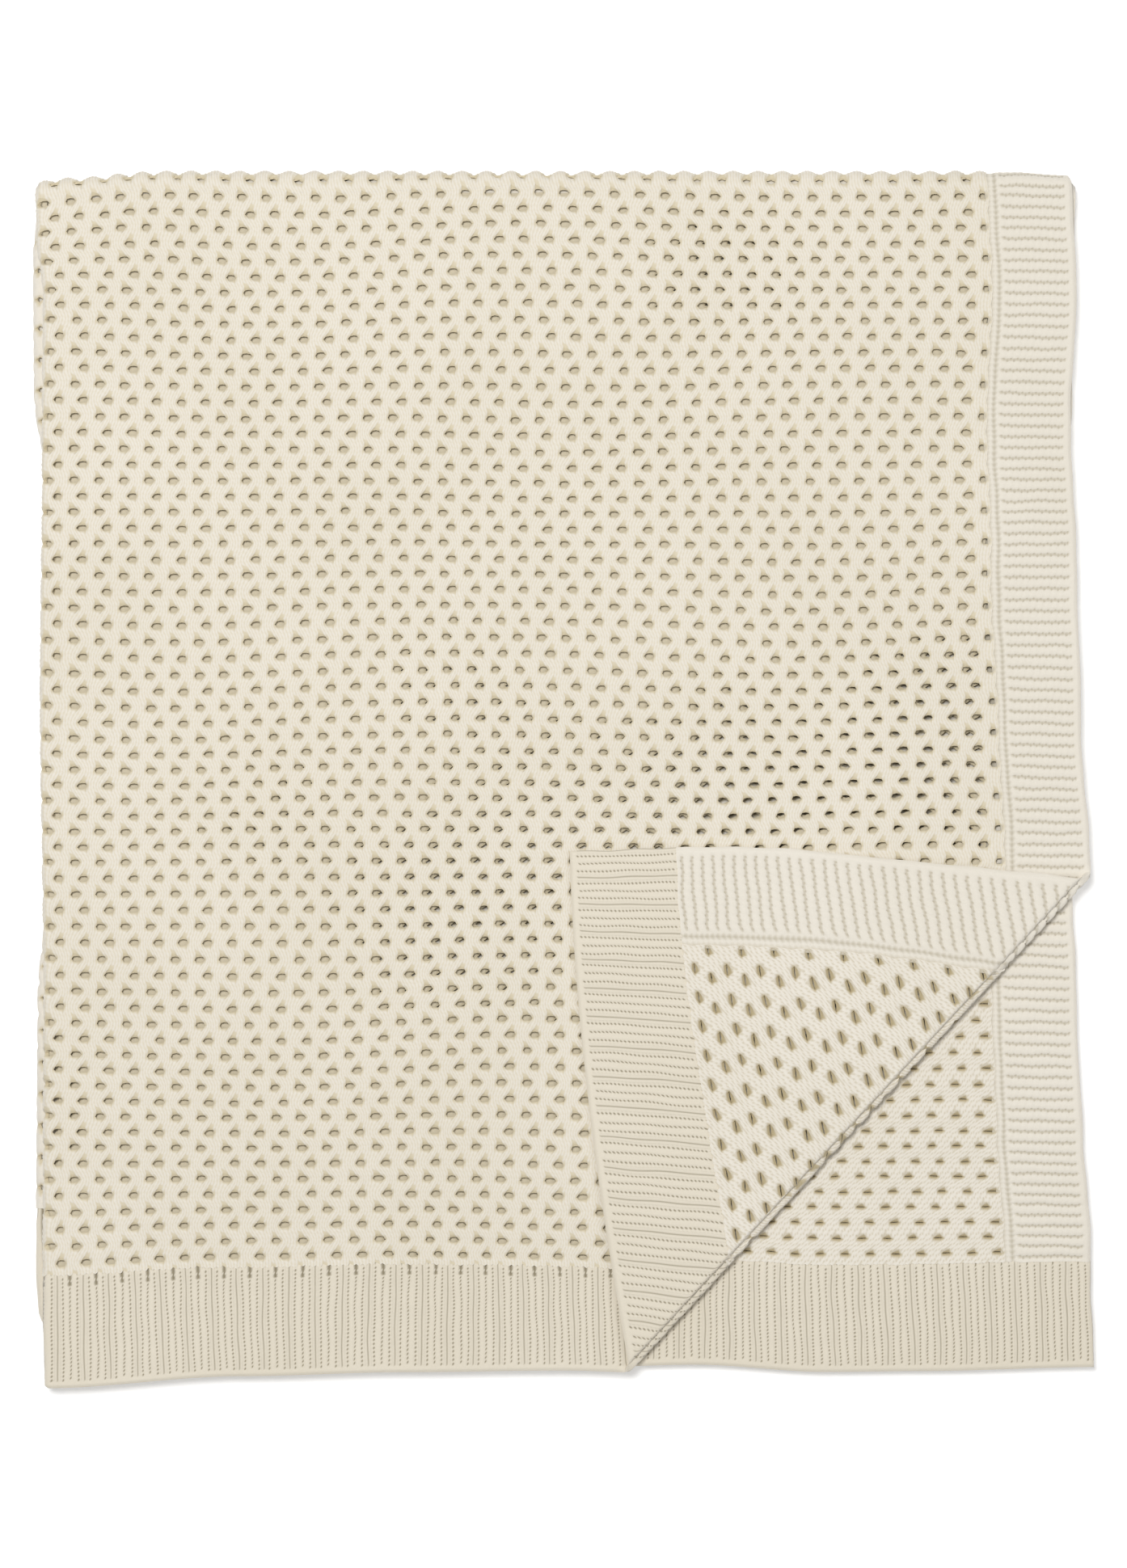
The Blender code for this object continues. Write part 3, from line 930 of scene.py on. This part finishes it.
hem_origin = (rib_pitch / 2, 0.0)
lower_hem_origin = (rib_pitch / 2, cloth_length - hem_height)
right_ribs = grid(range(0, RIBS), [0])
left_ribs = grid(range(-RIBS - 1, -1), [0])
flat_cells, fold_cells, corner_cells = by_corner(right_ribs, hem_origin, top_rib)
covered, *bared = by_corner(left_ribs, hem_origin, top_rib)
bared = bared[0] + bared[1]
for name, body, nodes, cells, repeat, origin in (
        ("top_rib_hem", "upper_half", ["top_layer_rib_hem"], flat_cells, top_rib, hem_origin),
        ("corner_fold_rib_hem", CORNER_BEND, ["corner_fold"], fold_cells, turned_rib, hem_origin),
        ("turned_corner_hem", "corner_flap", ["corner_rib_hem"],
         corner_cells, turned_rib, hem_origin),
        ("second_rib_hem", "upper_half", ["second_layer_rib_hem"],
         covered, plain_rib, hem_origin),
        ("second_rib_hem_bared", "upper_half", ["second_layer_rib_hem"],
         bared, bared_rib, hem_origin),
        ("upper_left_fold_rib", "upper_half", ["upper_left_fold"],
         [(-1, 0)], top_rib, hem_origin),
        ("third_rib_hem", "lower_half", ["third_layer_rib_hem"],
         left_ribs, lower_rib, lower_hem_origin),
        ("bottom_rib_hem", "lower_half", ["bottom_layer_rib_hem"],
         right_ribs, lower_rib, lower_hem_origin),
        ("lower_left_fold_rib", "lower_half", ["lower_left_fold"],
         [(-1, 0)], lower_rib, lower_hem_origin)):
    piece = knit(name, repeat, cells, origin, rib_cotton)
    lay(piece, body, nodes, cells, repeat)


# ---------------------------------------------------------------------------------------
# The shading across the seams
# The knit runs on from piece to piece, so its shading does too: where two pieces meet, the
# surface normals of both are averaged.

SAME_PLACE = 0.00004


def place_key(point):
    return tuple(np.round(point / SAME_PLACE).astype(int))


def seam_normals(piece):
    """The corners that lie on a piece's seams: their loops, flat places and summed normals."""
    mesh = piece.data
    loops, faces = len(mesh.loops), len(mesh.polygons)
    vertex, start = np.empty(loops, np.int32), np.empty(faces, np.int32)
    total, normal = np.empty(faces, np.int32), np.empty(faces * 3, np.float32)
    smooth, area = np.empty(faces, bool), np.empty(faces, np.float32)
    mesh.loops.foreach_get("vertex_index", vertex)
    mesh.polygons.foreach_get("loop_start", start)
    mesh.polygons.foreach_get("loop_total", total)
    mesh.polygons.foreach_get("normal", normal)
    mesh.polygons.foreach_get("area", area)
    mesh.polygons.foreach_get("use_smooth", smooth)
    face = np.repeat(np.arange(faces), total)
    weighted = normal.reshape(-1, 3) * area[:, None]
    seam = np.zeros(len(mesh.vertices), bool)
    seam[vertex[~smooth[face]]] = True
    chosen = np.flatnonzero(smooth[face] & seam[vertex])
    summed = np.zeros((len(mesh.vertices), 3))
    np.add.at(summed, vertex[chosen], weighted[face[chosen]])
    return loops, chosen, vertex[chosen], summed


meeting = {}
found = {}
for piece, flat_points in knitted_flat.items():
    loops, chosen, vertex, summed = seam_normals(piece)
    found[piece] = (loops, chosen, vertex)
    for index in np.unique(vertex):
        key = place_key(flat_points[index])
        meeting[key] = meeting.get(key, 0) + summed[index]
for piece, (loops, chosen, vertex) in found.items():
    flat_points = knitted_flat[piece]
    shared = np.zeros((len(flat_points), 3))
    for index in np.unique(vertex):
        key = place_key(flat_points[index])
        shared[index] = meeting[key] / (np.linalg.norm(meeting[key]) + 1e-12)
    normals = np.zeros((loops, 3))
    normals[chosen] = shared[vertex]
    piece.data.normals_split_custom_set(normals.tolist())


# ---------------------------------------------------------------------------------------
# Floor, light and camera
# A plain pale floor, a soft lamp above with a weak one to its right, and a camera straight
# over the middle of the throw.

def overhead_camera():
    data = bpy.data.cameras.new("camera")
    data.lens = 95
    camera = bpy.data.objects.new("camera", data)
    camera.location = (0.0, -0.0050, 2.585)
    bpy.context.scene.collection.objects.link(camera)
    bpy.context.scene.camera = camera


def floor():
    mesh = bpy.data.meshes.new("floor")
    far = 12.0
    corners = [(-far, -far, 0), (far, -far, 0), (far, far, 0), (-far, far, 0)]
    mesh.from_pydata(corners, [], [(0, 1, 2, 3)])
    plane = bpy.data.objects.new("floor", mesh)
    bpy.context.scene.collection.objects.link(plane)
    paint = bpy.data.materials.new("floor_paint")
    paint.use_nodes = True
    shader = paint.node_tree.nodes["Principled BSDF"]
    shader.inputs["Base Color"].default_value = (0.93, 0.93, 0.93, 1)
    shader.inputs["Roughness"].default_value = 0.9
    shader.inputs["Emission Color"].default_value = (1, 1, 1, 1)
    shader.inputs["Emission Strength"].default_value = 0.22
    mesh.materials.append(paint)


def soft_light(name, place, size, power):
    data = bpy.data.lights.new(name, "AREA")
    data.shape = "DISK"
    data.size = size
    data.energy = power
    lamp = bpy.data.objects.new(name, data)
    lamp.location = place
    direction = -lamp.location.normalized()
    lamp.rotation_euler = direction.to_track_quat("-Z", "Y").to_euler()
    bpy.context.scene.collection.objects.link(lamp)


overhead_camera()
floor()
soft_light("key", (-0.45, 0.65, 3.0), 0.9, 66)
soft_light("fill", (1.6, -0.5, 2.6), 2.0, 10)
world = bpy.data.worlds.new("studio")
world.use_nodes = True
world.node_tree.nodes["Background"].inputs["Color"].default_value = (1, 1, 1, 1)
world.node_tree.nodes["Background"].inputs["Strength"].default_value = 0.36
bpy.context.scene.world = world
bpy.context.scene.view_settings.view_transform = "Standard"
